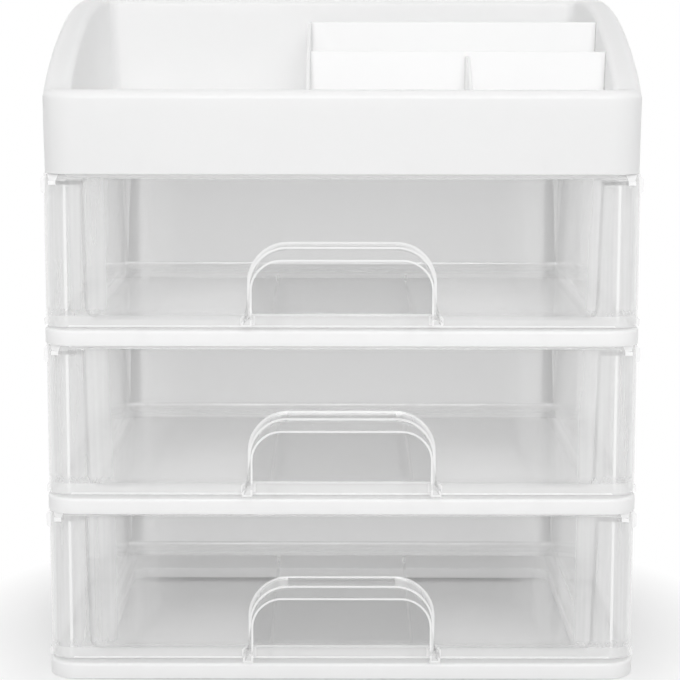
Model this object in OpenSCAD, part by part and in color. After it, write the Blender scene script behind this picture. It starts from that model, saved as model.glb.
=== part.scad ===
// Three-tier desktop drawer cabinet with an open organiser tray on top.
// X points right, Y to the back and Z up. The origin is on the table, halfway across
// the width and halfway between the front of the handles and the back.
// Every tier is a shelf, two side walls, a back panel and a clear drawer, and the
// side walls snap into the shelf under them and into the shelf or tray over them.

/* [Cabinet] */
// Outside width of the shelves and side walls
cab_w = 270; // [240:1:340]
// Depth from the front of the aprons to the back
cab_d = 198; // [170:1:260]
// Height from one shelf to the next
tier_h = 77.3; // [70:0.1:110]
// Plan radius of the upright corners
corner_r = 14; // [11:0.5:18]

/* [Shelves] */
// Height of the apron round each shelf
apron_h = 7.4; // [7:0.1:10]
// Thickness of the apron
apron_t = 2.2; // [1.8:0.1:2.6]
// Thickness of the shelf plates and of the tray's floor
plate_t = 2; // [1.4:0.1:2.6]
// Thickness of the ribs under the plates
rib_t = 1.6; // [1:0.1:2.4]
// Height of the ribs under the plates
rib_h = 3.2; // [2:0.1:3.6]
// Distance from the middle to each inner rib under the plates
rib_x = 30; // [16:1:40]
// Distance between neighbouring ribs under the plates
rib_pitch = 60; // [50:1:70]
// Distance from the front of the apron to the rib that stops the drawers
stop_back = 39; // [30:1:60]
// Width of the window in the base
window_w = 222; // [120:1:224]
// Width of the base's rim in front of its window
window_front = 26; // [14:1:80]
// Width of the base's rim behind its window
window_back = 30; // [14:1:60]
// Corner radius of the window
window_r = 8; // [3:0.5:20]

/* [Side walls] */
// Thickness of the side walls
wall_t = 1.65; // [1.2:0.05:1.9]
// How far a side wall turns round the rear corner, from its outer face
return_w = 26; // [22:1:60]
// Number of snap tabs on the top edge of a side wall; the bottom edge has one fewer
top_tabs = 3; // [2:1:4]
// Width of a snap tab
tab_w = 12; // [8:1:14]
// Thickness of a snap tab
tab_t = 1.5; // [1:0.1:1.8]
// Height of a snap tab above or below the wall's edge
tab_h = 4.6; // [3:0.1:4.8]
// Height of the block that carries a top tab
top_block_h = 2.4; // [1.6:0.1:2.6]
// Height of the block that carries a bottom tab
bottom_block_h = 4; // [2:0.1:6]
// How far a tab's snap bead stands out
bead = 0.5; // [0.3:0.05:0.8]
// Thickness of the rail that carries a drawer
rail_t = 2; // [1.4:0.1:3]
// Number of gussets under a rail
gussets = 3; // [2:1:5]
// Height of a gusset
gusset_h = 9; // [5:0.5:14]
// Thickness of a gusset
gusset_t = 1.4; // [1:0.1:2]

/* [Back panels] */
// Thickness of the back panels
back_t = 1.6; // [1.2:0.1:1.9]
// How far a back panel reaches up inside the apron above it
back_tuck = 4.2; // [2:0.1:4.6]
// How far the groove in a side wall covers the back panel's edge
back_cover = 7; // [4:0.5:10]

/* [Drawers] */
// How far the drawers' faces stand behind the aprons
front_setback = 6.5; // [4:0.1:9]
// Thickness of a drawer's face
front_t = 1.8; // [1.4:0.1:2.4]
// Outer corner radius of a drawer's face
front_r = 11; // [8:0.5:13]
// How far a drawer's face wraps back round its corners
front_wrap = 13.5; // [13:0.1:18]
// How far a drawer's face stands out beyond the side walls
front_proud = 0.2; // [0:0.1:0.6]
// Height of the thicker band along a face's top edge
band_h = 2.4; // [1.4:0.1:4]
// Thickness of that band
band_t = 3; // [2.4:0.1:4]
// Width of a drawer's tub over its side walls, at the rim
tub_w = 236; // [180:1:238]
// Thickness of the tub's walls and floor
tub_t = 1.6; // [1.2:0.1:2.2]
// Draft of the tub's walls, in degrees
tub_draft = 1.6; // [0.5:0.1:3]
// Radius along the tub's bottom edges
tub_r = 6; // [3:0.5:9]
// Plan radius of the tub's rear corners
tub_corner_r = 7; // [4:0.5:12]
// Height of the tub's floor above the shelf
floor_rise = 5.4; // [5:0.1:9]
// Height of the ribs under the tub's floor
foot_h = 3.2; // [1:0.1:3.3]
// Distance from the middle to each rib under the tub's floor
foot_x = 34; // [20:1:50]
// Thickness of the flanges that run on the rails
flange_t = 1.8; // [1.4:0.1:2.4]
// Distance from the side wall's top edge down to the tub's rim
rim_drop = 3.3; // [3:0.1:5]
// Width of each stop tab on a tub's rear wall
stop_w = 14; // [8:1:18]
// Height of the ears at the top corners of a drawer's face
ear_h = 7.4; // [4:0.1:10]
// Distance from the top of a drawer's face down to its ears
ear_drop = 1.3; // [0:0.1:3]
// How far the ears stand out
ear_out = 1; // [0.6:0.1:2]
// Height of the beads at the bottom corners of a drawer's face
toe_h = 3.4; // [2:0.1:5]
// How far those beads stand out
toe_out = 0.3; // [0.2:0.1:1.2]

/* [Handles] */
// Width of the hooded handle
hood_w = 86.5; // [60:0.5:110]
// Height of the hood's top above the shelf
hood_h = 39.5; // [30:0.5:50]
// How far the hood stands out from the drawer's face
hood_reach = 13; // [10:0.5:20]
// Radius of the hood's shoulders
hood_r = 18; // [10:0.5:20]
// Thickness of the hood's wall
hood_t = 1.8; // [1.4:0.1:2.4]
// Height of the lip that turns down along the hood's front
lip_h = 6.7; // [3:0.1:10]
// Radius at the inner corners of that lip
lip_r = 13.5; // [8:0.5:18]
// Height of the hood's feet above the shelf
hood_foot = 2.4; // [1:0.1:4]
// How far the hood's feet spread outwards
foot_flare = 3.2; // [1:0.1:6]
// Height of the sill under the finger opening, above the shelf
sill_h = 6.6; // [6:0.1:12]

/* [Tray] */
// Height of the tray's front
tray_h = 37.5; // [28:0.5:60]
// How far the skirt draws in towards its lower edge
skirt_draw = 0.5; // [0:0.1:0.6]
// Outer radius of the rim
rim_r = 3.9; // [2.5:0.1:6]
// Width of the rim round the tray's well
rim_w = 12.8; // [12:0.1:20]
// Radius of the rim's inner edge
well_edge_r = 3; // [2.5:0.5:5]
// Draft of the well's walls, in degrees
well_draft = 1.5; // [0:0.5:5]
// Thickness of the rim and of the well's wall
well_t = 2; // [1.4:0.1:2.4]
// Plan radius of the well's corners
well_r = 5; // [3:0.5:12]
// How far the tray stands in from the shelves' edge
tray_in = 0.4; // [0:0.1:0.8]
// Angle at which the side rims leave the front rim, in degrees
rise_angle = 39.3; // [30:0.1:50]
// Angle of the side rims where the tight bend ends, in degrees
knee_angle = 24.7; // [10:0.1:28]
// Radius of the tight bend near the front
bend_r = 90.5; // [80:0.5:160]
// Distance from the tray's front to where the side rims are level again
level_from = 168; // [120:1:190]
// Thickness of the walls between the compartments
divider_t = 1.6; // [1.2:0.1:2.4]
// Place of the long wall between the left and right compartments
divider_x = -15.6; // [-60:0.1:20]
// Place of the short wall between the two front compartments
split_x = 57.9; // [40:0.1:90]
// Distance from the top of the front cross wall down to the top of the short wall
split_drop = 2.3; // [0:0.1:8]
// Distance from the tray's front to the front cross wall
cross_front = 48; // [36:1:60]
// Distance from the tray's front to the rear cross wall
cross_back = 90; // [76:1:130]
// Height of the front cross wall above the front rim
cross_front_h = 16.5; // [8:0.1:18]
// Height of the rear cross wall above the front rim
cross_back_h = 30.1; // [20:0.1:31]

/* [Fits] */
// Gap round the snap tabs and the back panels
fit = 0.15; // [0.1:0.05:0.2]
// Gap between a drawer's flange and its rail
run_gap = 0.3; // [0.2:0.05:0.5]
// Play between a drawer's flange and the side wall
side_play = 1.5; // [0.6:0.1:2]
// Gap between a rail and the tub's wall
rail_gap = 2; // [1:0.1:4]
// Gap over and under a drawer's face
face_gap = 0.4; // [0.3:0.1:0.8]
// Gap between a drawer's tub and the back panel
rear_gap = 2; // [1:0.1:5]
// Gap that is left where a drawer meets its stop
stop_gap = 0.3; // [0.2:0.05:0.5]

/* [Hidden] */

$fn = 48;
white = [0.95, 0.95, 0.95];
clear = [0.86, 0.88, 0.89, 0.45];
cut = 1;                                    // how far a cut runs past a face
arc_steps = 6;                              // straight steps along a small arc
side_steps = 20;                            // straight steps along each side of the tray

overhang = hood_reach - front_setback;      // the handles stand this far in front of the aprons
y_front = (overhang - cab_d) / 2;           // front of the aprons
y_back = (overhang + cab_d) / 2;            // back of the cabinet
half_w = cab_w / 2;
wall_x = half_w - wall_t;                   // inner face of a side wall
bay_h = tier_h - apron_h;                   // from a shelf's top to the next apron
hollow_h = apron_h - plate_t;               // height of the hollow under a plate

y_face = y_front + front_setback;           // a drawer's face
y_wrap = y_face + front_wrap;               // rear end of its wrapped corners
wall_front = y_wrap + face_gap;             // front edge of the side walls
tab_x = half_w - apron_t - fit;             // outer face of the snap tabs
back_y = y_back - apron_t - fit;            // outer face of the back panels
back_x = half_w - corner_r + 3;             // half the width of a back panel
groove_y = back_y - back_t - fit;           // rear face of the ribs in front of the back panel
tub_back = groove_y - rib_t - rear_gap;     // rear face of the tub, at its rim
rim_z = bay_h - rim_drop;                   // the tub's rim, above the shelf
flange_x = wall_x - side_play;              // outer edge of a flange
wall_turn = y_back - corner_r;              // the side walls start to turn here; flanges end here
rail_z = rim_z - flange_t - run_gap;        // top of a rail, above the shelf
rail_x = tub_w / 2 + rail_gap;              // inner edge of a rail
face_top = bay_h - face_gap;                // top of a drawer's face, above the shelf
stop_top = bay_h + hollow_h - 1;            // top of a stop tab, above the shelf
stop_x = rib_x + rib_pitch / 2;             // middle of a stop tab, halfway between two ribs
stop_y = y_front + stop_back;               // middle of the rib that stops the drawers
travel = tub_back - tub_t - (stop_y + rib_t / 2) - stop_gap;
echo(drawer_travel = travel);

// Right-angled helpers: a flat shape swept along one axis between two places
module along_x(x0, x1) translate([x0, 0, 0]) rotate([90, 0, 90]) linear_extrude(x1 - x0) children();
module along_y(y0, y1) translate([0, y1, 0]) rotate([90, 0, 0]) linear_extrude(y1 - y0) children();
module along_z(z0, z1) translate([0, 0, z0]) linear_extrude(z1 - z0) children();
module block(low, high) translate(low) cube(high - low);
module both_sides() { children(); mirror([1, 0, 0]) children(); }

function arc(centre, r, a0, a1, n) =
    [for (i = [0:n]) let (a = a0 + (a1 - a0) * i / n) centre + r * [cos(a), sin(a)]];

// Rectangle with four round corners
module round_rect(low, high, r) {
    translate([low.x + r, low.y]) square([high.x - low.x - 2 * r, high.y - low.y]);
    translate([low.x, low.y + r]) square([high.x - low.x, high.y - low.y - 2 * r]);
    for (x = [low.x + r, high.x - r], y = [low.y + r, high.y - r])
        translate([x, y]) circle(r);
}

// Plan of the cabinet, drawn in by an inset
module cab_plan(inset) {
    round_rect([-half_w + inset, y_front + inset], [half_w - inset, y_back - inset], corner_r - inset);
}

// ---- Shelves ----

// Places of the tabs along a side wall: the bottom ones stand midway between the top ones
tab_first = wall_front + tab_w;
tab_pitch = (wall_turn - tab_w - tab_first) / (top_tabs - 1);
top_tab_ys = [for (i = [0:top_tabs - 1]) tab_first + i * tab_pitch];
bottom_tab_ys = [for (i = [0:top_tabs - 2]) tab_first + (i + 0.5) * tab_pitch];

// Slots in a plate for the bottom tabs of the side walls
module tab_slots() {
    both_sides()
        for (y = bottom_tab_ys)
            block([tab_x - tab_t - bead - fit, y - tab_w / 2 - fit, -plate_t - cut],
                  [half_w - apron_t, y + tab_w / 2 + fit, cut]);
}

// Ribs under a plate, from its underside at z = 0: four run front to back, and the
// cross rib stops the drawers
module plate_ribs() {
    rib_end = back_y - back_t - 2 * fit;
    for (x = [-rib_x - rib_pitch, -rib_x, rib_x, rib_x + rib_pitch])
        block([x - rib_t / 2, y_front + apron_t - 0.5, -rib_h], [x + rib_t / 2, rib_end, 0.5]);
    block([-rib_x - rib_pitch, stop_y - rib_t / 2, -rib_h],
          [rib_x + rib_pitch, stop_y + rib_t / 2, 0.5]);
}

// Apron and plate, with the apron's lower edge at z = 0
module apron_and_plate() {
    difference() {
        along_z(0, apron_h) cab_plan(0);
        along_z(-cut, hollow_h) cab_plan(apron_t);
        translate([0, 0, apron_h]) tab_slots();
    }
}

module shelf(tier) {
    translate([0, 0, tier * tier_h]) {
        apron_and_plate();
        translate([0, 0, hollow_h]) plate_ribs();
    }
}

// The base has a window in its plate, stiffened by a turned-down edge
module base_frame() {
    low = [-window_w / 2, y_front + window_front];
    high = [window_w / 2, y_back - window_back];
    edge = [rib_t, rib_t];
    difference() {
        union() {
            apron_and_plate();
            along_z(hollow_h - rib_h, apron_h - plate_t / 2) round_rect(low - edge, high + edge, window_r + rib_t);
        }
        along_z(-cut, apron_h + cut) round_rect(low, high, window_r);
    }
}

// ---- Side walls ----

// Snap tab on the right wall's edge at z = 0. It points up from a block under the edge.
module snap_tab(block_h) {
    inner = tab_x - tab_t;
    embed = wall_x + wall_t / 2;
    along_y(-tab_w / 2, tab_w / 2)
        polygon([[inner, -block_h], [embed, -block_h], [embed, 0], [tab_x, 0], [tab_x, tab_h], [inner, tab_h],
                 [inner - bead, tab_h - 1.2], [inner, tab_h - 2.2]]);
}

// The right wall, with its bottom edge at z = 0
module right_wall() {
    embed = wall_x + wall_t / 2;
    // outer sheet, turned round the rear corner
    along_z(0, bay_h) intersection() {
        difference() {
            cab_plan(0);
            cab_plan(wall_t);
        }
        translate([half_w - return_w, wall_front]) square([return_w + cut, cab_d]);
    }
    // groove that holds the back panel
    block([back_x - back_cover, groove_y - rib_t, 0], [embed, groove_y, bay_h]);
    // rail and its gussets
    block([rail_x, wall_front + 1, rail_z - rail_t], [embed, groove_y - rib_t / 2, rail_z]);
    for (i = [0:gussets - 1]) {
        y = wall_front + 8 + i * (groove_y - wall_front - 24) / (gussets - 1);
        along_y(y, y + gusset_t)
            polygon([[embed, rail_z - rail_t / 2], [rail_x + 2, rail_z - rail_t / 2],
                     [rail_x + 2, rail_z - rail_t], [embed, rail_z - rail_t - gusset_h]]);
    }
    for (y = top_tab_ys) translate([0, y, bay_h]) snap_tab(top_block_h);
    for (y = bottom_tab_ys) translate([0, y, 0]) mirror([0, 0, 1]) snap_tab(bottom_block_h);
}

module side_wall(side, tier) {
    color(white) translate([0, 0, tier * tier_h + apron_h])
        if (side == "left") mirror([1, 0, 0]) right_wall();
        else right_wall();
}

// ---- Back panels ----

// The panel's tuck behind the apron above it is narrower, to clear the apron's round corners
module back_panel(tier) {
    tuck_x = half_w - corner_r;
    color(white) translate([0, 0, tier * tier_h + apron_h]) {
        block([-back_x, back_y - back_t, fit], [back_x, back_y, bay_h - fit]);
        block([-tuck_x, back_y - back_t, bay_h / 2], [tuck_x, back_y, bay_h + back_tuck]);
    }
}

// ---- Drawers ----

// Plan of a drawer's face with its wrapped corners, open at the back
module face_plan(inset, extra) {
    x = half_w + front_proud - inset;
    y = y_face + inset;
    r = front_r - inset;
    intersection() {
        union() {
            translate([-x, y + r]) square([2 * x, front_wrap + extra]);
            translate([r - x, y]) square([2 * (x - r), 2 * r]);
            for (side = [-1, 1]) translate([side * (x - r), y + r]) circle(r);
        }
        translate([-x, y_face]) square([2 * x, front_wrap + extra]);
    }
}

module face_band(t, z0, z1) {
    along_z(z0, z1) difference() { face_plan(0, 0); face_plan(t, cut); }
}

// Arch in the XZ plane: straight legs up from a bottom, and round shoulders
module arch(w, top, r, bottom) {
    translate([-w / 2, bottom]) square([w, top - r - bottom]);
    translate([-w / 2 + r, bottom]) square([w - 2 * r, top - bottom]);
    for (side = [-1, 1]) translate([side * (w / 2 - r), top - r]) circle(r);
}

// Hooded handle: an arched shell that stands out from the face, with a lip that turns
// down along its front for the fingers to pull on
module hood() {
    inner_w = hood_w - 2 * hood_t;
    y_lip = y_face - hood_reach;
    difference() {
        along_y(y_lip, y_face + front_t) arch(hood_w, hood_h, hood_r, hood_foot);
        along_y(y_lip + hood_t, y_face + front_t + cut)
            arch(inner_w, hood_h - hood_t, hood_r - hood_t, hood_foot - cut);
        along_y(y_lip - cut, y_face) arch(inner_w, hood_h - lip_h, lip_r, hood_foot - cut);
    }
    both_sides() along_y(y_lip, y_face + front_t / 2)
        polygon([[inner_w / 2, hood_foot], [hood_w / 2 + foot_flare, hood_foot],
                 [hood_w / 2 + foot_flare, hood_foot + hood_t], [hood_w / 2, hood_foot + 3 * hood_t],
                 [inner_w / 2, hood_foot + 3 * hood_t]]);
}

// Space inside the tub, or with no inset its outside, up to a height above the rim
module tub_form(inset, rise) {
    z0 = floor_rise - tub_t + inset;
    z1 = rim_z + rise;
    r = tub_r - inset;
    lean = tan(tub_draft);
    x1 = tub_w / 2 - inset + rise * lean;
    y1 = tub_back - inset + rise * lean;
    y0 = y_face + front_t / 2 + (inset > 0 ? front_t / 2 : 0);
    x_arc = x1 - (z1 - z0 - r) * lean - r / cos(tub_draft);
    y_arc = y1 - (z1 - z0 - r) * lean - r / cos(tub_draft);
    side = arc([x_arc, z0 + r], r, -90, -tub_draft, arc_steps);
    intersection() {
        along_y(y0, y1 + cut)
            polygon(concat([for (p = side) p], [[x1, z1], [-x1, z1]],
                           [for (i = [len(side) - 1:-1:0]) [-side[i].x, side[i].y]]));
        along_x(-x1 - cut, x1 + cut)
            polygon(concat([[y0, z0]], arc([y_arc, z0 + r], r, -90, -tub_draft, arc_steps), [[y1, z1], [y0, z1]]));
        along_z(z0 - cut, z1 + cut) {
            cr = tub_corner_r - inset;
            translate([-x1, y0]) square([2 * x1, y1 - y0 - cr]);
            translate([-x1 + cr, y0]) square([2 * (x1 - cr), y1 - y0]);
            for (s = [-1, 1]) translate([s * (x1 - cr), y1 - cr]) circle(cr);
        }
    }
}

module drawer_body() {
    difference() {
        union() {
            face_band(front_t, face_gap, face_top);
            face_band(band_t, face_top - band_h, face_top);
            tub_form(0, 0);
            // flanges that run on the rails, joined to the face's corners
            block([-flange_x, y_face + front_t / 2, rim_z - flange_t], [flange_x, wall_turn, rim_z]);
            // ribs under the floor
            both_sides() block([foot_x - rib_t / 2, y_face + front_t / 2, floor_rise - tub_t - foot_h],
                               [foot_x + rib_t / 2, tub_back - 2 * tub_r, floor_rise - tub_t / 2]);
            // ears and beads at the ends of the face
            both_sides() along_y(y_face + 0.6 * front_r, y_wrap) {
                x = half_w + front_proud;
                top = face_top - ear_drop;
                polygon([[x - 1, top], [x, top], [x + ear_out, top - ear_out],
                         [x + ear_out, top - ear_h + ear_out], [x, top - ear_h], [x - 1, top - ear_h]]);
                polygon([[x - 1, face_gap], [x + toe_out, face_gap], [x + toe_out, face_gap + toe_h - toe_out],
                         [x, face_gap + toe_h], [x - 1, face_gap + toe_h]]);
            }
            // stop tabs on the rear wall
            for (side = [-1, 1])
                block([side * stop_x - stop_w / 2, tub_back - tub_t, rim_z - flange_t],
                      [side * stop_x + stop_w / 2, tub_back, stop_top]);
        }
        tub_form(tub_t, cut);
        // finger opening behind the hood
        along_y(y_face - cut, y_face + front_t + cut)
            arch(hood_w - 2 * hood_t, hood_h - hood_t, hood_r - hood_t, sill_h);
    }
    hood();
}

module drawer(tier) {
    color(clear) translate([0, 0, tier * tier_h + apron_h]) drawer_body();
}

// ---- Organiser tray ----

tray_z = 3 * tier_h;                        // lower edge of the tray's skirt
skirt_t = apron_t - tray_in;                // the skirt's inner face is in line with the aprons'
tray_y = y_front + tray_in;                 // front of the tray
rise_y = tray_y + corner_r;                 // where the side rims start to rise
knee_y = rise_y + bend_r * (sin(rise_angle) - sin(knee_angle));
knee_h = bend_r * (cos(knee_angle) - cos(rise_angle));
long_r = (tray_y + level_from - knee_y) / sin(knee_angle);

// Height of the side rim above the front rim: level, then a tight bend, a long one, and level again
function rim_rise(y) =
    y <= rise_y ? 0 :
    y <= knee_y ? bend_r * (cos(asin(sin(rise_angle) - (y - rise_y) / bend_r)) - cos(rise_angle)) :
    knee_h + long_r * (cos(asin(max(0, sin(knee_angle) - (y - knee_y) / long_r))) - cos(knee_angle));

// Points round the tray's plan, drawn in by an inset, with the same count at every inset
function tray_ring(inset) =
    let (r = max(corner_r - inset, well_r),
         x = half_w - tray_in - inset - r,
         y0 = tray_y + inset + r,
         y1 = y_back - tray_in - inset - r,
         side = [for (i = [1:side_steps - 1]) y0 + (y1 - y0) * i / side_steps])
    concat(arc([x, y0], r, -90, 0, arc_steps), [for (y = side) [x + r, y]],
           arc([x, y1], r, 0, 90, arc_steps), arc([-x, y1], r, 90, 180, arc_steps),
           [for (i = [len(side) - 1:-1:0]) [-x - r, side[i]]], arc([-x, y0], r, 180, 270, arc_steps));

// Ring at one height
function level_ring(inset, z) = [for (p = tray_ring(inset)) [p.x, p.y, z]];

// Ring that lies a drop below the curved rim. A draft spreads it where the rim is higher.
function rim_ring(inset, drop, draft) =
    let (half = half_w - tray_in - inset, back = y_back - tray_in - inset)
    [for (p = tray_ring(inset))
        let (rise = rim_rise(p.y), spread = rise * tan(draft))
        [p.x * (1 + spread / half), p.y > 0 ? p.y * (1 + spread / back) : p.y, tray_h + rise - drop]];

// Rings round the rim's outer and inner edges, a wall thickness inside them, from angle a0 to a1
function outer_edge(t_side, t_top, angles) =
    [for (a = angles) rim_ring(rim_r - (rim_r - t_side) * cos(a), rim_r - (rim_r - t_top) * sin(a), 0)];
function inner_edge(t, angles) =
    [for (a = angles) rim_ring(rim_w - well_edge_r + (well_edge_r - t) * cos(a),
                               well_edge_r - (well_edge_r - t) * sin(a), well_draft)];

// Solid through a list of rings, closed by a flat cap at each end
module loft(rings) {
    n = len(rings[0]);
    last = (len(rings) - 1) * n;
    points = [for (ring = rings) each ring];
    sides = [for (i = [0:len(rings) - 2], j = [0:n - 1])
        let (a = i * n + j, b = i * n + (j + 1) % n)
        each [[a, a + n, b + n], [a, b + n, b]]];
    polyhedron(points, concat([[for (j = [0:n - 1]) j]], sides, [[for (j = [n - 1:-1:0]) last + j]]));
}

// Thin shell: up inside the hollow, down inside the skirt, up its outside, over the rim and
// down into the well
module tray_shell() {
    draw = (tray_h - apron_h) * tan(well_draft);
    loft(concat(
        [level_ring(rim_w - well_t + draw, hollow_h)],
        inner_edge(well_t, [0, 45, 90]),
        outer_edge(skirt_t, well_t, [90, 45, 0]),
        [level_ring(skirt_t, 0), level_ring(skirt_draw, 0)],
        outer_edge(0, 0, [0:22.5:90]),
        inner_edge(0, [90:-30:0]),
        [level_ring(rim_w + draw, apron_h)]));
}

// Walls between the compartments: the long one and the short one follow the side rims up to
// near the height of the cross wall that they meet, and the cross walls are level
module dividers() {
    embed = well_t / 2;
    lean = tan(well_draft);
    z0 = hollow_h + plate_t / 2;
    front = tray_y + cross_front;
    back = tray_y + cross_back;
    well_front = tray_y + rim_w - embed;
    well_back = y_back - tray_in - rim_w + embed;
    well_x = half_w - tray_in - rim_w + embed;
    ys = [for (i = [0:side_steps]) well_front + (well_back - well_front) * i / side_steps];
    function top(y) = tray_h + min(rim_rise(y), cross_back_h) - 0.5;
    split_top = cross_front_h - split_drop;
    split_ys = [for (i = [0:side_steps]) well_front + (front - well_front) * i / side_steps];
    along_x(divider_x - divider_t / 2, divider_x + divider_t / 2)
        polygon(concat([for (y = ys) [y + (y == well_back ? (top(y) - tray_h) * lean : 0), top(y)]],
                       [[well_back - (tray_h - z0) * lean, z0], [well_front + (tray_h - z0) * lean, z0]]));
    for (wall = [[front, cross_front_h], [back, cross_back_h]])
        along_y(wall[0] - divider_t / 2, wall[0] + divider_t / 2)
            polygon([[divider_x, z0], [well_x - (tray_h - z0) * lean, z0],
                     [well_x + wall[1] * lean, tray_h + wall[1]], [divider_x, tray_h + wall[1]]]);
    along_x(split_x - divider_t / 2, split_x + divider_t / 2)
        polygon(concat([for (y = split_ys) [y, tray_h + min(rim_rise(y), split_top)]],
                       [[front, z0], [well_front + (tray_h - z0) * lean, z0]]));
}

module organiser_tray() {
    color(white) translate([0, 0, tray_z]) {
        tray_shell();
        dividers();
        translate([0, 0, hollow_h]) plate_ribs();
    }
}

module base() color(white) base_frame();
module lower_shelf() color(white) shelf(1);
module upper_shelf() color(white) shelf(2);

base();
lower_shelf();
upper_shelf();
organiser_tray();
side_wall("left", 0);  // left_wall_bottom
side_wall("left", 1);  // left_wall_middle
side_wall("left", 2);  // left_wall_top
side_wall("right", 0);  // right_wall_bottom
side_wall("right", 1);  // right_wall_middle
side_wall("right", 2);  // right_wall_top
back_panel(0);  // back_panel_bottom
back_panel(1);  // back_panel_middle
back_panel(2);  // back_panel_top
drawer(0);  // drawer_bottom
drawer(1);  // drawer_middle
drawer(2);  // drawer_top
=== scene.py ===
from math import cos, pi, radians, sin, tan

import bmesh
import bpy
from mathutils import Matrix, Vector


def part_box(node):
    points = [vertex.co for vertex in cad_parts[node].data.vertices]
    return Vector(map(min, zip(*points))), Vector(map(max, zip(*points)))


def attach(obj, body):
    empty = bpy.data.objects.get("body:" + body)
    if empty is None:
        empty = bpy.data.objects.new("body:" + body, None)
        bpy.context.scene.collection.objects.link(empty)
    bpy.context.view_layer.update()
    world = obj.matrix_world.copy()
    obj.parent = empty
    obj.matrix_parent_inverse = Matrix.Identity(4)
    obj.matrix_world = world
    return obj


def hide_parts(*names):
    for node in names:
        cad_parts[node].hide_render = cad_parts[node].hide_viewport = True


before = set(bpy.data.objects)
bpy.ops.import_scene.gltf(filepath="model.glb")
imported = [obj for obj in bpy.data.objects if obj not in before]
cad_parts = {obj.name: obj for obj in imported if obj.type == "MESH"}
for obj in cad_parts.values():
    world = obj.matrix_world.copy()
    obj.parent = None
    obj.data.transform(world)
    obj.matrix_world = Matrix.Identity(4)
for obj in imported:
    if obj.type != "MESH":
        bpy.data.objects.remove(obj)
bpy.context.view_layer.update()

MM = 0.001
LEVELS = ("bottom", "middle", "top")


# ---- Base and shelves --------------------------------------------------------------
# Three white polypropylene mouldings, one under each drawer. Each is a plate with an
# apron turned down round its edge. The bottom one is the base, and has a wide window in
# its plate; the other two are plain and have a grid of ribs on their undersides.

CABINET_LOW, CABINET_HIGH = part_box("base")[0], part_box("lower_shelf")[1]
HALF_W = CABINET_HIGH[0]
FRONT, BACK = CABINET_LOW[1], CABINET_HIGH[1]
APRON_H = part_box("base")[1][2]
TIER_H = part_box("lower_shelf")[0][2]
CORNER_R = 14 * MM
APRON_T = 2.2 * MM
PLATE_T = 2 * MM
APRON_ROUND = 1.3 * MM     # round of the apron's upper edge
APRON_BREAK = 0.4 * MM     # its lower edges are just broken
RIB_T = 1.6 * MM
RIB_H = 3.2 * MM
RIB_X = 30 * MM
RIB_PITCH = 60 * MM
RIB_SUNK = 0.5 * MM        # how far a rib reaches into its plate
RIB_GAP = 0.1 * MM         # between a rib's front end and the apron
STOP_Y = FRONT + 39 * MM
CORNER_STEPS = 14

CLOUD_SIZE = 70 * MM
GRAIN_SIZE = 1.2 * MM
POLYPROPYLENE_IOR = 1.49
POLYSTYRENE_IOR = 1.59


def linear(code):
    """Linear colour of an sRGB hex value."""
    parts = [int(code[i:i + 2], 16) / 255 for i in (0, 2, 4)]
    return [c / 12.92 if c <= 0.04045 else ((c + 0.055) / 1.055) ** 2.4 for c in parts] + [1.0]


def add(tree, kind, inputs=None, **settings):
    """A node with its settings, and its inputs set to values or linked to sockets."""
    node = tree.nodes.new(kind)
    for name, value in settings.items():
        setattr(node, name, value)
    for name, value in (inputs or {}).items():
        if isinstance(value, bpy.types.NodeSocket):
            tree.links.new(value, node.inputs[name])
        else:
            node.inputs[name].default_value = value
    return node


def new_material(name):
    material = bpy.data.materials.new(name)
    material.use_nodes = True
    material.node_tree.nodes.clear()
    return material, material.node_tree


def white_polypropylene(name, glow_depth):
    """Polypropylene, injection-moulded in a finely eroded steel mould: an even white with a soft
    satin sheen. Light spreads in it over the glow depth, and so passes through a thin wall. The
    real grain is about 0.4 mm, and it is drawn at 1.2 mm so that it shows."""
    material, tree = new_material(name)
    place = add(tree, "ShaderNodeTexCoord").outputs["Object"]
    cloud = add(tree, "ShaderNodeTexNoise", {"Vector": place, "Scale": 1 / CLOUD_SIZE, "Detail": 2.0})
    grain = add(tree, "ShaderNodeTexNoise", {"Vector": place, "Scale": 1 / GRAIN_SIZE, "Detail": 2.0})
    colour = add(tree, "ShaderNodeMix", {"Factor": cloud.outputs["Fac"], "A": linear("FDFDFD"),
                                         "B": linear("FBFBFB")}, data_type="RGBA")
    rough = add(tree, "ShaderNodeMapRange", {"Value": cloud.outputs["Fac"], "To Min": 0.36,
                                             "To Max": 0.46})
    bump = add(tree, "ShaderNodeBump", {"Height": grain.outputs["Fac"], "Strength": 0.06,
                                        "Distance": 0.1 * MM})
    shader = add(tree, "ShaderNodeBsdfPrincipled", {
        "Base Color": colour.outputs["Result"], "Roughness": rough.outputs["Result"],
        "Normal": bump.outputs["Normal"], "IOR": POLYPROPYLENE_IOR,
        "Subsurface Weight": 1.0, "Subsurface Radius": (1, 1, 1), "Subsurface Scale": glow_depth})
    add(tree, "ShaderNodeOutputMaterial", {"Surface": shader.outputs["BSDF"]})
    return material


POLYPROPYLENE = white_polypropylene("moulded_white_polypropylene", 3 * MM)


def finish_piece(piece, body, nodes, material, sharp=35):
    """Links a piece, shades it smooth between its sharp edges, hangs it on its body and hides the parts
    that it stands for.
    """
    mesh = piece.data
    if not mesh.materials:
        mesh.materials.append(material)
    mesh.polygons.foreach_set("use_smooth", [True] * len(mesh.polygons))
    mesh.set_sharp_from_angle(angle=radians(sharp))
    if piece.name not in bpy.context.scene.collection.objects:
        bpy.context.scene.collection.objects.link(piece)
    weighted = piece.modifiers.new("even_faces", "WEIGHTED_NORMAL")
    weighted.keep_sharp = True
    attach(piece, body)
    if nodes:
        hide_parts(*nodes)


def quarter(steps):
    """Angles from 0 to a quarter turn."""
    return [pi / 2 * i / steps for i in range(steps + 1)]


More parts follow.
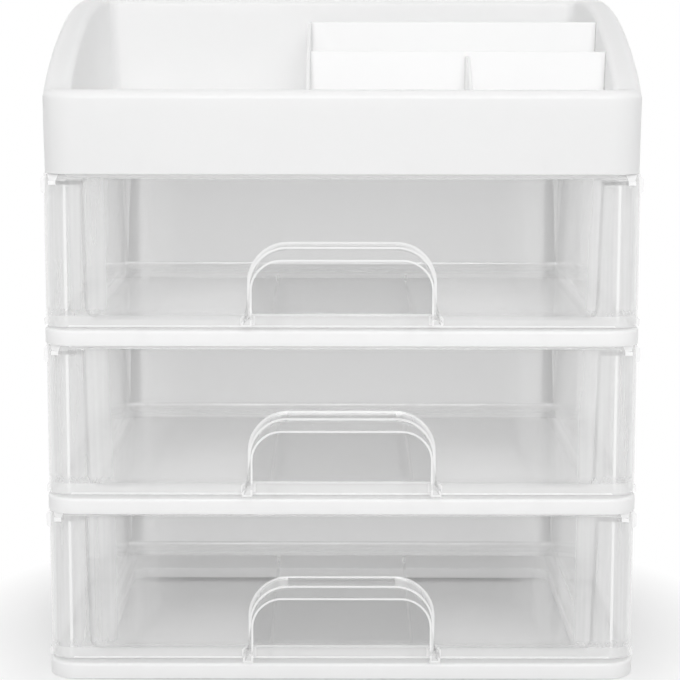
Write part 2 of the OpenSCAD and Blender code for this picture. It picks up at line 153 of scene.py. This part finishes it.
def arc(x, y, r, a0, a1, steps):
    return [(x + r * cos(a0 + (a1 - a0) * i / steps), y + r * sin(a0 + (a1 - a0) * i / steps))
            for i in range(steps + 1)]


def round_rect(low, high, r, side_steps=1, steps=CORNER_STEPS):
    """Points round a rectangle with round corners, anticlockwise from the front right."""
    (x0, y0), (x1, y1) = low, high
    side = [y0 + r + (y1 - y0 - 2 * r) * i / side_steps for i in range(1, side_steps)]
    return (arc(x1 - r, y0 + r, r, -pi / 2, 0, steps) + [(x1, y) for y in side]
            + arc(x1 - r, y1 - r, r, 0, pi / 2, steps) + arc(x0 + r, y1 - r, r, pi / 2, pi, steps)
            + [(x0, y) for y in reversed(side)] + arc(x0 + r, y0 + r, r, pi, 1.5 * pi, steps))


def loft(bm, rings, closed=False):
    """Skins a list of rings of equal length, and closes the ends or joins the last to the first."""
    loops = [[bm.verts.new(p) for p in ring] for ring in rings]
    pairs = list(zip(loops, loops[1:] + loops[:1])) if closed else list(zip(loops, loops[1:]))
    for low, high in pairs:
        for i in range(len(low)):
            j = (i + 1) % len(low)
            bm.faces.new((low[i], low[j], high[j], high[i]))
    if not closed:
        bm.faces.new(list(reversed(loops[0])))
        bm.faces.new(loops[-1])


def make_piece(name, bm):
    bmesh.ops.recalc_face_normals(bm, faces=bm.faces)
    mesh = bpy.data.meshes.new(name)
    bm.to_mesh(mesh)
    bm.free()
    piece = bpy.data.objects.new(name, mesh)
    bpy.context.scene.collection.objects.link(piece)
    return piece


def apron_rings(z0, inner_low, inner_high, inner_r):
    """Rings from the plate's underside at the inner outline, round the apron, to the plate's top
    at the same outline."""
    top, lower = APRON_ROUND, APRON_BREAK
    path = [(APRON_T, APRON_H - PLATE_T), (APRON_T, lower), (APRON_T - lower, 0)]
    path += [(lower - lower * sin(a), lower - lower * cos(a)) for a in quarter(2)]
    path += [(top - top * cos(a), APRON_H - top + top * sin(a)) for a in quarter(6)]
    rings = []
    for inset, z in path:
        outline = round_rect((-HALF_W + inset, FRONT + inset), (HALF_W - inset, BACK - inset),
                             CORNER_R - inset)
        rings.append([(x, y, z0 + z) for x, y in outline])
    inner = round_rect(inner_low, inner_high, inner_r)
    return ([[(x, y, z0 + APRON_H - PLATE_T) for x, y in inner]] + rings
            + [[(x, y, z0 + APRON_H) for x, y in inner]])


def rib_row_tree():
    """Geometry Nodes tree for a row of like ribs: a line of points with a box on each."""
    tree = bpy.data.node_groups.new("rib_row", "GeometryNodeTree")
    for name, kind in (("Ribs", "NodeSocketInt"), ("First", "NodeSocketVector"),
                       ("Step", "NodeSocketVector"), ("Size", "NodeSocketVector"),
                       ("Material", "NodeSocketMaterial")):
        tree.interface.new_socket(name, in_out="INPUT", socket_type=kind)
    tree.interface.new_socket("Geometry", in_out="OUTPUT", socket_type="NodeSocketGeometry")
    given = add(tree, "NodeGroupInput").outputs
    places = add(tree, "GeometryNodeMeshLine", {
        "Count": given["Ribs"], "Start Location": given["First"], "Offset": given["Step"]})
    rib = add(tree, "GeometryNodeMeshCube", {"Size": given["Size"]})
    row = add(tree, "GeometryNodeInstanceOnPoints", {"Points": places.outputs["Mesh"],
                                                     "Instance": rib.outputs["Mesh"]})
    real = add(tree, "GeometryNodeRealizeInstances", {"Geometry": row.outputs["Instances"]})
    done = add(tree, "GeometryNodeSetMaterial", {"Geometry": real.outputs["Geometry"],
                                                 "Material": given["Material"]})
    add(tree, "NodeGroupOutput", {"Geometry": done.outputs["Geometry"]})
    return tree


RIB_ROW = rib_row_tree()


def rib_row(bm, ribs, first, step, size, material):
    """Adds a row of ribs to a mesh: the middle of the first one, the step to the next, their size."""
    maker = bpy.data.objects.new("rib_row", bpy.data.meshes.new("rib_row"))
    bpy.context.scene.collection.objects.link(maker)
    row = maker.modifiers.new("rib_row", "NODES")
    row.node_group = RIB_ROW
    values = {"Ribs": ribs, "First": first, "Step": step, "Size": size, "Material": material}
    for socket in RIB_ROW.interface.items_tree:
        if socket.in_out == "INPUT":
            row[socket.identifier] = values[socket.name]
    mesh = bpy.data.meshes.new_from_object(maker.evaluated_get(bpy.context.evaluated_depsgraph_get()))
    bm.from_mesh(mesh)
    bpy.data.objects.remove(maker)


def plate_ribs(bm, z, back):
    """Four ribs from front to back under a plate, and the cross rib that stops a drawer."""
    front = FRONT + APRON_T + RIB_GAP
    middle_z, height = z + (RIB_SUNK - RIB_H) / 2, RIB_H + RIB_SUNK
    rib_row(bm, 4, (-RIB_X - RIB_PITCH, (front + back) / 2, middle_z), (RIB_PITCH, 0, 0),
            (RIB_T, back - front, height), POLYPROPYLENE)
    rib_row(bm, 1, (0, STOP_Y, middle_z), (0, 0, 0), (2 * (RIB_X + RIB_PITCH), RIB_T, height),
            POLYPROPYLENE)


WINDOW_LOW = (-111 * MM, FRONT + 26 * MM)
WINDOW_HIGH = (111 * MM, BACK - 30 * MM)
WINDOW_R = 8 * MM
WINDOW_EDGE = 0.5 * MM     # bevel of the window's upper edge
MIDDLE = 60 * MM           # half the side of the flat square that closes a plain plate
MIDDLE_R = 8 * MM
RIBS_BACK = BACK - 4.1 * MM


def window_ring(spread, z):
    """The window's outline, spread outwards, at a height."""
    outline = round_rect([c - spread for c in WINDOW_LOW], [c + spread for c in WINDOW_HIGH],
                         WINDOW_R + spread)
    return [(x, y, z) for x, y in outline]


bm = bmesh.new()
rings = apron_rings(0, WINDOW_LOW, WINDOW_HIGH, WINDOW_R)[1:-1]
for spread, z in ((WINDOW_EDGE, APRON_H), (0, APRON_H - WINDOW_EDGE), (0, APRON_H - PLATE_T - RIB_H),
                  (RIB_T, APRON_H - PLATE_T - RIB_H), (RIB_T, APRON_H - PLATE_T)):
    rings.append(window_ring(spread, z))
loft(bm, rings, closed=True)
finish_piece(make_piece("base_moulding", bm), "cabinet", ["base"], POLYPROPYLENE)

for name, tier in (("lower_shelf", 1), ("upper_shelf", 2)):
    bm = bmesh.new()
    loft(bm, apron_rings(tier * TIER_H, (-MIDDLE, -MIDDLE), (MIDDLE, MIDDLE), MIDDLE_R))
    plate_ribs(bm, tier * TIER_H + APRON_H - PLATE_T, RIBS_BACK)
    finish_piece(make_piece(name + "_moulding", bm), "cabinet", [name], POLYPROPYLENE)


# ---- Side walls --------------------------------------------------------------------
# Six white polypropylene walls, a left and a right one on each tier. Each turns round the
# rear corner of the cabinet, carries a rail for its drawer on the inside, and snaps with
# small tabs into the shelf under it and into the shelf or tray over it.

SAME_POINT = 0.001 * MM
FLAT = radians(0.3)
WALL_BREAK = 0.25 * MM


def join_triangles(bm):
    """Joins the points that coincide, and makes whole the flat faces that are cut in triangles."""
    bmesh.ops.remove_doubles(bm, verts=bm.verts, dist=SAME_POINT)
    bmesh.ops.dissolve_limit(bm, angle_limit=FLAT, verts=bm.verts, edges=bm.edges)


def cad_copy(node, name):
    """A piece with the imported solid's mesh, joined."""
    bm = bmesh.new()
    bm.from_mesh(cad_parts[node].data)
    join_triangles(bm)
    mesh = bpy.data.meshes.new(name)
    bm.to_mesh(mesh)
    bm.free()
    piece = bpy.data.objects.new(name, mesh)
    bpy.context.scene.collection.objects.link(piece)
    return piece


def break_edges(piece):
    """Rounds the sharp edges of a thin moulding a little, as its mould does."""
    edges = piece.modifiers.new("broken_edges", "BEVEL")
    edges.width = WALL_BREAK
    edges.segments = 2
    edges.angle_limit = radians(50)
    return piece


THIN_POLYPROPYLENE = white_polypropylene("thin_translucent_polypropylene", 20 * MM)

for side in ("left", "right"):
    for level in LEVELS:
        node = f"{side}_wall_{level}"
        finish_piece(break_edges(cad_copy(node, node + "_moulding")), "cabinet", [node],
                     THIN_POLYPROPYLENE)


# ---- Back panels -------------------------------------------------------------------
# Three flat white polypropylene sheets. Each slides down into the grooves of two side
# walls, and its top edge is held behind the apron over it.

for level in LEVELS:
    node = f"back_panel_{level}"
    finish_piece(break_edges(cad_copy(node, node + "_sheet")), "cabinet", [node],
                 THIN_POLYPROPYLENE)


# ---- Organiser tray ----------------------------------------------------------------
# One deep white polypropylene moulding that closes the top tier. It is a thin shell: a
# skirt, a round rim that is low in front and sweeps up along the sides to the back, and a
# well with five compartments. The walls between the compartments are moulded in.

TRAY_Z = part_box("organiser_tray")[0][2]
TRAY_HALF_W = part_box("organiser_tray")[1][0]
TRAY_FRONT, TRAY_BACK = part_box("organiser_tray")[0][1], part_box("organiser_tray")[1][1]
TRAY_H = 37.5 * MM
SKIRT_T = 1.8 * MM
SKIRT_DRAW = 0.5 * MM      # the skirt stands back by this under the rim
SKIRT_BREAK = 0.4 * MM
RIM_R = 3.9 * MM
RIM_W = 12.8 * MM
WELL_EDGE_R = 3 * MM
WELL_DRAFT = tan(radians(1.5))
WELL_T = 2 * MM
WELL_R = 5 * MM
WELL_FILLET = 1.2 * MM
TRAY_RIBS_BACK = RIBS_BACK - 12 * MM
SIDE_STEPS = 60
RISE_Y = TRAY_FRONT + CORNER_R         # where the side rims begin to rise
RISE_A, KNEE_A = radians(39.3), radians(24.7)
BEND_R = 90.5 * MM                     # of the tight bend; the long one takes over at the knee
KNEE_Y = RISE_Y + BEND_R * (sin(RISE_A) - sin(KNEE_A))
LEVEL_Y = TRAY_FRONT + 168 * MM        # from here to the back they are level again
LONG_R = (LEVEL_Y - KNEE_Y) / sin(KNEE_A)


def rim_rise(y):
    """Height of the side rims over the front rim: level, a tight bend, a long one, and level again."""
    if y <= RISE_Y:
        return 0.0
    if y <= KNEE_Y:
        s = sin(RISE_A) - (y - RISE_Y) / BEND_R
        return BEND_R * ((1 - s * s) ** 0.5 - cos(RISE_A))
    s = max(0.0, sin(KNEE_A) - (min(y, BACK) - KNEE_Y) / LONG_R)
    return BEND_R * (cos(KNEE_A) - cos(RISE_A)) + LONG_R * ((1 - s * s) ** 0.5 - cos(KNEE_A))


def tray_ring(inset):
    r = max(CORNER_R - inset, WELL_R)
    return round_rect((-TRAY_HALF_W + inset, TRAY_FRONT + inset),
                      (TRAY_HALF_W - inset, TRAY_BACK - inset), r, side_steps=SIDE_STEPS)


def level_ring(inset, z):
    return [(x, y, TRAY_Z + z) for x, y in tray_ring(inset)]


def rim_ring(inset, drop, draft=0.0):
    """Ring a drop below the curved rim, spread by the well's draft where the rim is higher."""
    half, back, ring = TRAY_HALF_W - inset, TRAY_BACK - inset, []
    for x, y in tray_ring(inset):
        rise = rim_rise(y)
        spread = rise * draft
        ring.append((x * (1 + spread / half), y * (1 + spread / back) if y > 0 else y,
                     TRAY_Z + TRAY_H + rise - drop))
    return ring


def outer_edge(t_side, t_top, angles):
    return [rim_ring(RIM_R - (RIM_R - t_side) * cos(a), RIM_R - (RIM_R - t_top) * sin(a)) for a in angles]


def inner_edge(t, angles):
    return [rim_ring(RIM_W - WELL_EDGE_R + (WELL_EDGE_R - t) * cos(a),
                     WELL_EDGE_R - (WELL_EDGE_R - t) * sin(a), WELL_DRAFT) for a in angles]


draw = (TRAY_H - APRON_H) * WELL_DRAFT
bm = bmesh.new()
rings = [level_ring(RIM_W - WELL_T + draw, APRON_H - PLATE_T)]
rings += inner_edge(WELL_T, quarter(3)) + outer_edge(SKIRT_T, WELL_T, reversed(quarter(4)))
rings += [level_ring(SKIRT_T, 0), level_ring(SKIRT_DRAW + SKIRT_BREAK, 0),
          level_ring(SKIRT_DRAW, SKIRT_BREAK)]
rings += outer_edge(0, 0, quarter(9)) + inner_edge(0, reversed(quarter(6)))
rings += [level_ring(RIM_W + draw + WELL_FILLET * (1 - cos(a)), APRON_H + WELL_FILLET * (1 - sin(a)))
          for a in quarter(3)]
loft(bm, rings)
plate_ribs(bm, TRAY_Z + APRON_H - PLATE_T, TRAY_RIBS_BACK)
finish_piece(make_piece("organiser_tray_shell", bm), "cabinet", ["organiser_tray"], POLYPROPYLENE)

DIVIDER_T = 1.6 * MM
DIVIDER_ROUND = 0.55 * MM
REAL_EDGE = radians(10)    # a fold flatter than this is part of a curve, and isn't rounded
DIVIDER_X = -15.6 * MM
LONG_DIVIDER_DROP = 0.5 * MM
SPLIT_X = 57.9 * MM
CROSS_FRONT, CROSS_BACK = TRAY_FRONT + 48 * MM, TRAY_FRONT + 90 * MM
CROSS_FRONT_H, CROSS_BACK_H = 16.5 * MM, 30.1 * MM    # over the front rim
SPLIT_H = CROSS_FRONT_H - 2.3 * MM
well_x = TRAY_HALF_W - RIM_W + WELL_T / 2
well_front, well_back = TRAY_FRONT + RIM_W - WELL_T / 2, TRAY_BACK - RIM_W + WELL_T / 2
floor_z = APRON_H - PLATE_T / 2
lean = (TRAY_H - floor_z) * WELL_DRAFT


def divider(name, axis, place, outline):
    """A thin wall across an axis, from its outline of (along, height) points, with round edges."""
    bm = bmesh.new()
    half = DIVIDER_T / 2
    sides = []
    for s in (-half, half):
        at = place + s
        sides.append([bm.verts.new((at, a, TRAY_Z + z) if axis == "x" else (a, at, TRAY_Z + z))
                      for a, z in outline])
    bm.faces.new(sides[0])
    bm.faces.new(list(reversed(sides[1])))
    for i in range(len(outline)):
        j = (i + 1) % len(outline)
        bm.faces.new((sides[0][i], sides[0][j], sides[1][j], sides[1][i]))
    bmesh.ops.recalc_face_normals(bm, faces=bm.faces)
    bm.normal_update()
    edges = [e for e in bm.edges if e.calc_face_angle() > REAL_EDGE]
    bmesh.ops.bevel(bm, geom=edges, offset=DIVIDER_ROUND, segments=3, affect="EDGES", profile=0.5)
    finish_piece(make_piece(name, bm), "cabinet", [], POLYPROPYLENE, sharp=50)


def steps_between(start, end, steps):
    return [start + (end - start) * i / steps for i in range(steps + 1)]


tops = [(y, TRAY_H + min(rim_rise(y), CROSS_BACK_H) - LONG_DIVIDER_DROP)
        for y in steps_between(well_front, well_back, 60)]
tops[-1] = (well_back + CROSS_BACK_H * WELL_DRAFT, tops[-1][1])
divider("long_divider", "x", DIVIDER_X,
        tops + [(well_back - lean, floor_z), (well_front + lean, floor_z)])
for name, place, rise in (("front_cross_divider", CROSS_FRONT, CROSS_FRONT_H),
                          ("rear_cross_divider", CROSS_BACK, CROSS_BACK_H)):
    divider(name, "y", place, [(DIVIDER_X, floor_z), (well_x - lean, floor_z),
                               (well_x + rise * WELL_DRAFT, TRAY_H + rise), (DIVIDER_X, TRAY_H + rise)])
tops = [(y, TRAY_H + min(rim_rise(y), SPLIT_H)) for y in steps_between(well_front, CROSS_FRONT, 20)]
divider("short_divider", "x", SPLIT_X, tops + [(CROSS_FRONT, floor_z), (well_front + lean, floor_z)])


# ---- Drawers -----------------------------------------------------------------------
# Three drawers of clear polystyrene, each one moulding. The face wraps round the corners
# of the cabinet, and the tub behind it hangs by its flanges on the rails. An arched hood
# stands out from the face over an opening for the fingers.

FACE_Y = FRONT + 6.5 * MM
FACE_T = 1.8 * MM
FACE_FOOT = APRON_H + 5.4 * MM         # the level of the tub's floor
FACE_HEAD = APRON_H + 67.2 * MM        # the lower edge of the thick band along the face's top
ROUNDED_EDGE = 0.45 * MM

# Where and how much the clear plastic is hazy, as shares of 1, and where white is painted on it for
# light:
# a painted highlight at the wrapped ends of the face, broken into painted streaks, painted bright lines
# at its foot and head, and painted light towards the floor. The painted marks belong to the face and to
# the first part of the tub behind it.
CORNER_FROM, CORNER_TO, CORNER_HIGHLIGHT = HALF_W - 70 * MM, HALF_W - 14 * MM, 0.75
LOW_REACH, LOW_PAINTED_LIGHT = 26 * MM, 0.42    # painted light, rising towards the floor
LINE_T = 0.6 * MM                      # the painted bright lines are full under the foot and over the head
NEAR_FROM, NEAR_TO, NEAR_PAINT_SHARE = FACE_Y + 3 * MM, FACE_Y + 16 * MM, 0.36
SILL_FROM, SILL_TO, SILL_SHARE = APRON_H + 7 * MM, APRON_H + 9 * MM, 0.42    # less veil below
WAVE_SIZE = 30 * MM
STREAK_SIZE = 5 * MM
STREAK_STRETCH = 0.03                    # the painted streaks run from top to bottom
LIT_SHARE = 0.55                       # the part of the haze that stops light on its way


def clear_polystyrene(name, colour, veil, rim, roughness):
    """General-purpose polystyrene, injection-moulded in polished steel: clear, with a high gloss
    and a slightly wavy surface. What is behind it shows through unbent, under a veil of haze that
    grows to the rim value where a wall is seen on edge. Over the veil, white is painted for light:
    a painted highlight at the ends of the face, broken into painted streaks from top to bottom,
    painted bright lines along its foot and its head, and painted light on its lower part towards
    the floor. Light that lights other things meets less haze than the eye does, because the haze
    throws much of it forward."""
    material, tree = new_material(name)
    place = add(tree, "ShaderNodeTexCoord").outputs["Object"]
    wave = add(tree, "ShaderNodeTexNoise", {"Vector": place, "Scale": 1 / WAVE_SIZE, "Detail": 1.0})
    bump = add(tree, "ShaderNodeBump", {"Height": wave.outputs["Fac"], "Strength": 0.15,
                                        "Distance": 0.4 * MM})
    slant = add(tree, "ShaderNodeLayerWeight", {"Blend": 0.5, "Normal": bump.outputs["Normal"]})
    steep = add(tree, "ShaderNodeMath", {0: slant.outputs["Facing"], 1: 4.0}, operation="POWER")
    veiled = add(tree, "ShaderNodeMapRange", {"Value": steep.outputs[0], "To Min": veil, "To Max": rim})

    axes = add(tree, "ShaderNodeSeparateXYZ", {0: place}).outputs
    aside = add(tree, "ShaderNodeMath", {0: axes["X"]}, operation="ABSOLUTE").outputs[0]
    height = add(tree, "ShaderNodeMath", {0: axes["Z"], 1: TIER_H}, operation="MODULO").outputs[0]
    # Painted highlight at the wrapped ends of the face.
    corner = add(tree, "ShaderNodeMapRange", {
        "Value": aside, "From Min": CORNER_FROM, "From Max": CORNER_TO, "To Max": CORNER_HIGHLIGHT},
        interpolation_type="SMOOTHSTEP")
    # Painted light on the lower part of the face, rising towards the floor.
    low = add(tree, "ShaderNodeMapRange", {
        "Value": height, "From Min": FACE_FOOT + LOW_REACH, "From Max": FACE_FOOT, "To Max": LOW_PAINTED_LIGHT},
        interpolation_type="SMOOTHSTEP")
    # Painted bright lines along the foot and the head of the face.
    foot = add(tree, "ShaderNodeMapRange", {
        "Value": height, "From Min": FACE_FOOT + LINE_T, "From Max": FACE_FOOT})
    head = add(tree, "ShaderNodeMapRange", {
        "Value": height, "From Min": FACE_HEAD, "From Max": FACE_HEAD + LINE_T})
    above_sill = add(tree, "ShaderNodeMapRange", {
        "Value": height, "From Min": SILL_FROM, "From Max": SILL_TO, "To Min": SILL_SHARE, "To Max": 1.0})
    haze = add(tree, "ShaderNodeMath", {0: veiled.outputs["Result"], 1: above_sill.outputs["Result"]},
               operation="MULTIPLY")

    # Painted streaks in the corner highlight, running from top to bottom.
    streak_place = add(tree, "ShaderNodeVectorMath", {0: place, 1: (1.0, 1.0, STREAK_STRETCH)},
               operation="MULTIPLY")
    lines = add(tree, "ShaderNodeTexNoise", {"Vector": streak_place.outputs[0], "Scale": 1 / STREAK_SIZE,
                                             "Detail": 2.0})
    lines = add(tree, "ShaderNodeMapRange", {
        "Value": lines.outputs["Fac"], "From Min": 0.3, "From Max": 0.7, "To Min": 0.65, "To Max": 1.15})
    ends = add(tree, "ShaderNodeMath", {0: corner.outputs["Result"], 1: lines.outputs["Result"]},
               operation="MULTIPLY")
    for part in (head, low, foot):
        ends = add(tree, "ShaderNodeMath", {0: ends.outputs[0], 1: part.outputs["Result"]},
                   operation="MAXIMUM")
    # The painted marks are full on the face and fade out behind it.
    near = add(tree, "ShaderNodeMapRange", {
        "Value": axes["Y"], "From Min": NEAR_FROM, "From Max": NEAR_TO,
        "To Min": NEAR_PAINT_SHARE, "To Max": 0.0})
    haze_and_painted_light = add(tree, "ShaderNodeMath", {0: ends.outputs[0], 1: near.outputs["Result"],
                                          2: haze.outputs[0]}, operation="MULTIPLY_ADD")

    ray = add(tree, "ShaderNodeLightPath").outputs
    lit = add(tree, "ShaderNodeMath", {0: ray["Is Shadow Ray"], 1: ray["Is Diffuse Ray"]},
              operation="MAXIMUM")
    met = add(tree, "ShaderNodeMapRange", {"Value": lit.outputs[0], "To Min": 1.0, "To Max": LIT_SHARE})
    alpha = add(tree, "ShaderNodeMath", {0: haze_and_painted_light.outputs[0], 1: met.outputs["Result"]},
                operation="MULTIPLY", use_clamp=True)
    shader = add(tree, "ShaderNodeBsdfPrincipled", {
        "Base Color": linear(colour), "Roughness": roughness, "Normal": bump.outputs["Normal"],
        "IOR": POLYSTYRENE_IOR, "Coat Weight": 1.0, "Coat IOR": POLYSTYRENE_IOR,
        "Coat Roughness": 0.03, "Coat Normal": bump.outputs["Normal"], "Alpha": alpha.outputs[0]})
    add(tree, "ShaderNodeOutputMaterial", {"Surface": shader.outputs["BSDF"]})
    return material


POLYSTYRENE = clear_polystyrene("moulded_clear_polystyrene", "FEFEFE", 0.07, 0.85, 0.05)
# The edge material paints, as a dense white veil, the glow of light that comes out of the walls' edges.
POLYSTYRENE_EDGE = clear_polystyrene("moulded_clear_polystyrene_edges", "FEFEFE", 0.72, 0.90, 0.12)

SILL_X, SILL_H = 41.45 * MM, 6.6 * MM  # ends and level of the sill under the finger opening
SILL_END = 5 * MM                      # the filler stops short of the sill's ends by this
SILL_FOOT = 4.6 * MM                   # and reaches down to here, inside the plastic
TOUCH = 0.1 * MM
HOOD_X, HOOD_TOP = 47 * MM, 45 * MM    # the hood and its opening are inside these
HOOD_BEND = 30 * MM                    # from here up the hood is lowered in full
HOOD_DRAW, HOOD_DROP = 0.97, 1.0 * MM
THIN_FACE = 2.5 * MM
BORDER = 0.9 * MM
FRONT_AREA = 400 * MM * MM
UPRIGHT = 25 * MM                      # a face taller than this is a wall, not an edge


def straighten_sill(piece, floor_z):
    """Fills the two shallow dips that the round corners of the opening leave in its sill."""
    corners = [v.co for v in piece.data.vertices if abs(abs(v.co.x) - SILL_X) < TOUCH
               and abs(v.co.z - floor_z - SILL_H) < TOUCH and v.co.y < FACE_Y + FACE_T + TOUCH]
    front, back = min(c.y for c in corners), max(c.y for c in corners)
    half = SILL_X - SILL_END
    bm = bmesh.new()
    loft(bm, [[(-half, front, z), (half, front, z), (half, back, z), (-half, back, z)]
              for z in (floor_z + SILL_FOOT, max(c.z for c in corners))])
    filler = make_piece("sill_filler", bm)
    union = piece.modifiers.new("sill", "BOOLEAN")
    union.operation, union.solver, union.object = "UNION", "EXACT", filler
    mesh = bpy.data.meshes.new_from_object(piece.evaluated_get(bpy.context.evaluated_depsgraph_get()))
    piece.modifiers.remove(union)
    bpy.data.objects.remove(filler)
    bm = bmesh.new()
    bm.from_mesh(mesh)
    join_triangles(bm)
    bm.to_mesh(mesh)
    bm.free()
    piece.data = mesh


def settle_hood(mesh, floor_z):
    """Draws the hood and its opening in by three percent and lowers their tops by one millimetre,
    as the photo shows them. The sill's level and the rest of the face stay."""
    for v in mesh.vertices:
        height = v.co.z - floor_z
        if v.co.y < FACE_Y + FACE_T + TOUCH and abs(v.co.x) < HOOD_X and height < HOOD_TOP:
            v.co.x *= HOOD_DRAW
            v.co.z -= HOOD_DROP * min(1.0, max(0.0, (height - SILL_H) / (HOOD_BEND - SILL_H)))


def mark_bright_faces(mesh):
    """Gives the bright material to the edges of the thin walls, to the tight curves and to a narrow
    border round the flat fronts, where light that has run along inside a wall comes out."""
    bm = bmesh.new()
    bm.from_mesh(mesh)
    fronts = [f for f in bm.faces if f.normal.y < -0.99 and f.calc_center_median().y < FACE_Y + 1 * MM
              and f.calc_area() > FRONT_AREA]
    bmesh.ops.inset_region(bm, faces=fronts, thickness=BORDER, use_boundary=True, use_even_offset=True)
    for face in bm.faces:
        heights = [v.co.z for v in face.verts]
        round_corner = (max(heights) - min(heights) > UPRIGHT and face.normal.y < 0.98
                        and abs(face.calc_center_median().x) > HALF_W - CORNER_R)
        if 2 * face.calc_area() / face.calc_perimeter() < THIN_FACE and not round_corner:
            face.material_index = 1
    bm.to_mesh(mesh)
    bm.free()


for tier, level in enumerate(LEVELS):
    node = f"drawer_{level}"
    drawer = cad_copy(node, node + "_moulding")
    straighten_sill(drawer, tier * TIER_H + APRON_H)
    settle_hood(drawer.data, tier * TIER_H + APRON_H)
    drawer.data.materials.append(POLYSTYRENE)
    drawer.data.materials.append(POLYSTYRENE_EDGE)
    mark_bright_faces(drawer.data)
    # The rounded edges take the edge material too: a painted edge glow.
    edges = drawer.modifiers.new("rounded_edges", "BEVEL")
    edges.width = ROUNDED_EDGE
    edges.segments = 2
    edges.angle_limit = radians(40)
    edges.material = 1
    finish_piece(drawer, f"drawer_{level}_slide", [node], POLYSTYRENE)


# ---- Room, lights and camera -------------------------------------------------------
# A pale studio: a white floor that keeps the soft shadow round the cabinet, an even white
# surround, a large soft lamp high in front and a faint one over the top. The camera stands
# 0.9 m in front, level with the upper part of the tray, and looks slightly down.

FLOOR_REACH = 12.0
FLOOR_Z = -0.3 * MM
SHADOW_FROM, SHADOW_TO = 0.12, 0.20    # from the middle, the floor turns from lit to plain white
WORLD_LIGHT, WORLD_SEEN = 0.66, 1.0
LAMPS = (                              # name, place, what it is aimed at, side in m, power in W
    ("front_softbox", (0.1, -2.8, 1.15), (0, 0, 0.16), 1.2, 27.0),
    ("top_softbox", (-0.3, -0.3, 1.8), (0, 0, 0.25), 1.4, 1.5),
)
PHOTO_SIDE = 680.0                     # the photo's side and the next two are in its pixels
FOCAL_LENGTH = 2060.0
CENTRE_Y = 310.2                       # the height in the photo of the camera's own axis
CAMERA_PLACE = (-0.87 * MM, FRONT - 915.4 * MM, 297.45 * MM)
PITCH, ROLL = radians(7.85), radians(0.08)
SENSOR = 36.0


def seen_directly(tree):
    """1 for what the camera sees straight, in a reflection or through something, and 0 for light."""
    path = add(tree, "ShaderNodeLightPath").outputs
    seen = add(tree, "ShaderNodeMath", {0: path["Is Camera Ray"], 1: path["Is Glossy Ray"]},
               operation="MAXIMUM")
    return add(tree, "ShaderNodeMath", {0: seen.outputs[0], 1: path["Is Transmission Ray"]},
               operation="MAXIMUM").outputs[0]


bm = bmesh.new()
bm.faces.new([bm.verts.new((x * FLOOR_REACH, y * FLOOR_REACH, FLOOR_Z))
              for x, y in ((-1, -1), (1, -1), (1, 1), (-1, 1))])
floor = make_piece("studio_floor", bm)
material, tree = new_material("white_studio_floor")
place = add(tree, "ShaderNodeTexCoord").outputs["Object"]
away = add(tree, "ShaderNodeVectorMath", {0: place}, operation="LENGTH")
blend = add(tree, "ShaderNodeMapRange", {
    "Value": away.outputs["Value"], "From Min": SHADOW_FROM, "From Max": SHADOW_TO,
    "To Min": 0.0, "To Max": 1.0})
white = add(tree, "ShaderNodeMath", {0: seen_directly(tree), 1: blend.outputs["Result"]},
            operation="MULTIPLY")
paint = add(tree, "ShaderNodeBsdfDiffuse", {"Color": linear("F0F0F0")})
glow = add(tree, "ShaderNodeEmission", {"Color": (1, 1, 1, 1), "Strength": 1.0})
mix = add(tree, "ShaderNodeMixShader", {0: white.outputs[0], 1: paint.outputs[0], 2: glow.outputs[0]})
add(tree, "ShaderNodeOutputMaterial", {"Surface": mix.outputs[0]})
floor.data.materials.append(material)

scene = bpy.context.scene
world = bpy.data.worlds.new("studio")
scene.world = world
world.use_nodes = True
tree = world.node_tree
tree.nodes.clear()
strength = add(tree, "ShaderNodeMapRange", {
    "Value": seen_directly(tree), "To Min": WORLD_LIGHT, "To Max": WORLD_SEEN})
backdrop = add(tree, "ShaderNodeBackground", {"Color": (1, 1, 1, 1),
                                              "Strength": strength.outputs["Result"]})
add(tree, "ShaderNodeOutputWorld", {"Surface": backdrop.outputs[0]})

for name, place, aim, side, power in LAMPS:
    lamp = bpy.data.lights.new(name, "AREA")
    lamp.shape = "SQUARE"
    lamp.size = side
    lamp.energy = power
    holder = bpy.data.objects.new(name, lamp)
    holder.location = place
    holder.rotation_euler = (Vector(aim) - Vector(place)).to_track_quat("-Z", "Y").to_euler()
    scene.collection.objects.link(holder)

camera = bpy.data.cameras.new("photo_camera")
camera.sensor_width = SENSOR
camera.lens = FOCAL_LENGTH / PHOTO_SIDE * SENSOR
camera.shift_y = (CENTRE_Y - PHOTO_SIDE / 2) / PHOTO_SIDE
viewer = bpy.data.objects.new("photo_camera", camera)
tilt = Matrix.Rotation(pi / 2 - PITCH, 4, "X") @ Matrix.Rotation(ROLL, 4, "Z")
viewer.matrix_world = Matrix.Translation(CAMERA_PLACE) @ tilt
scene.collection.objects.link(viewer)
scene.camera = viewer
scene.view_settings.view_transform = "Standard"
# Light in a drawer crosses up to a dozen clear faces, and goes dark under the usual limits
scene.cycles.transparent_max_bounces = 40
scene.cycles.diffuse_bounces = 16
scene.cycles.max_bounces = 32
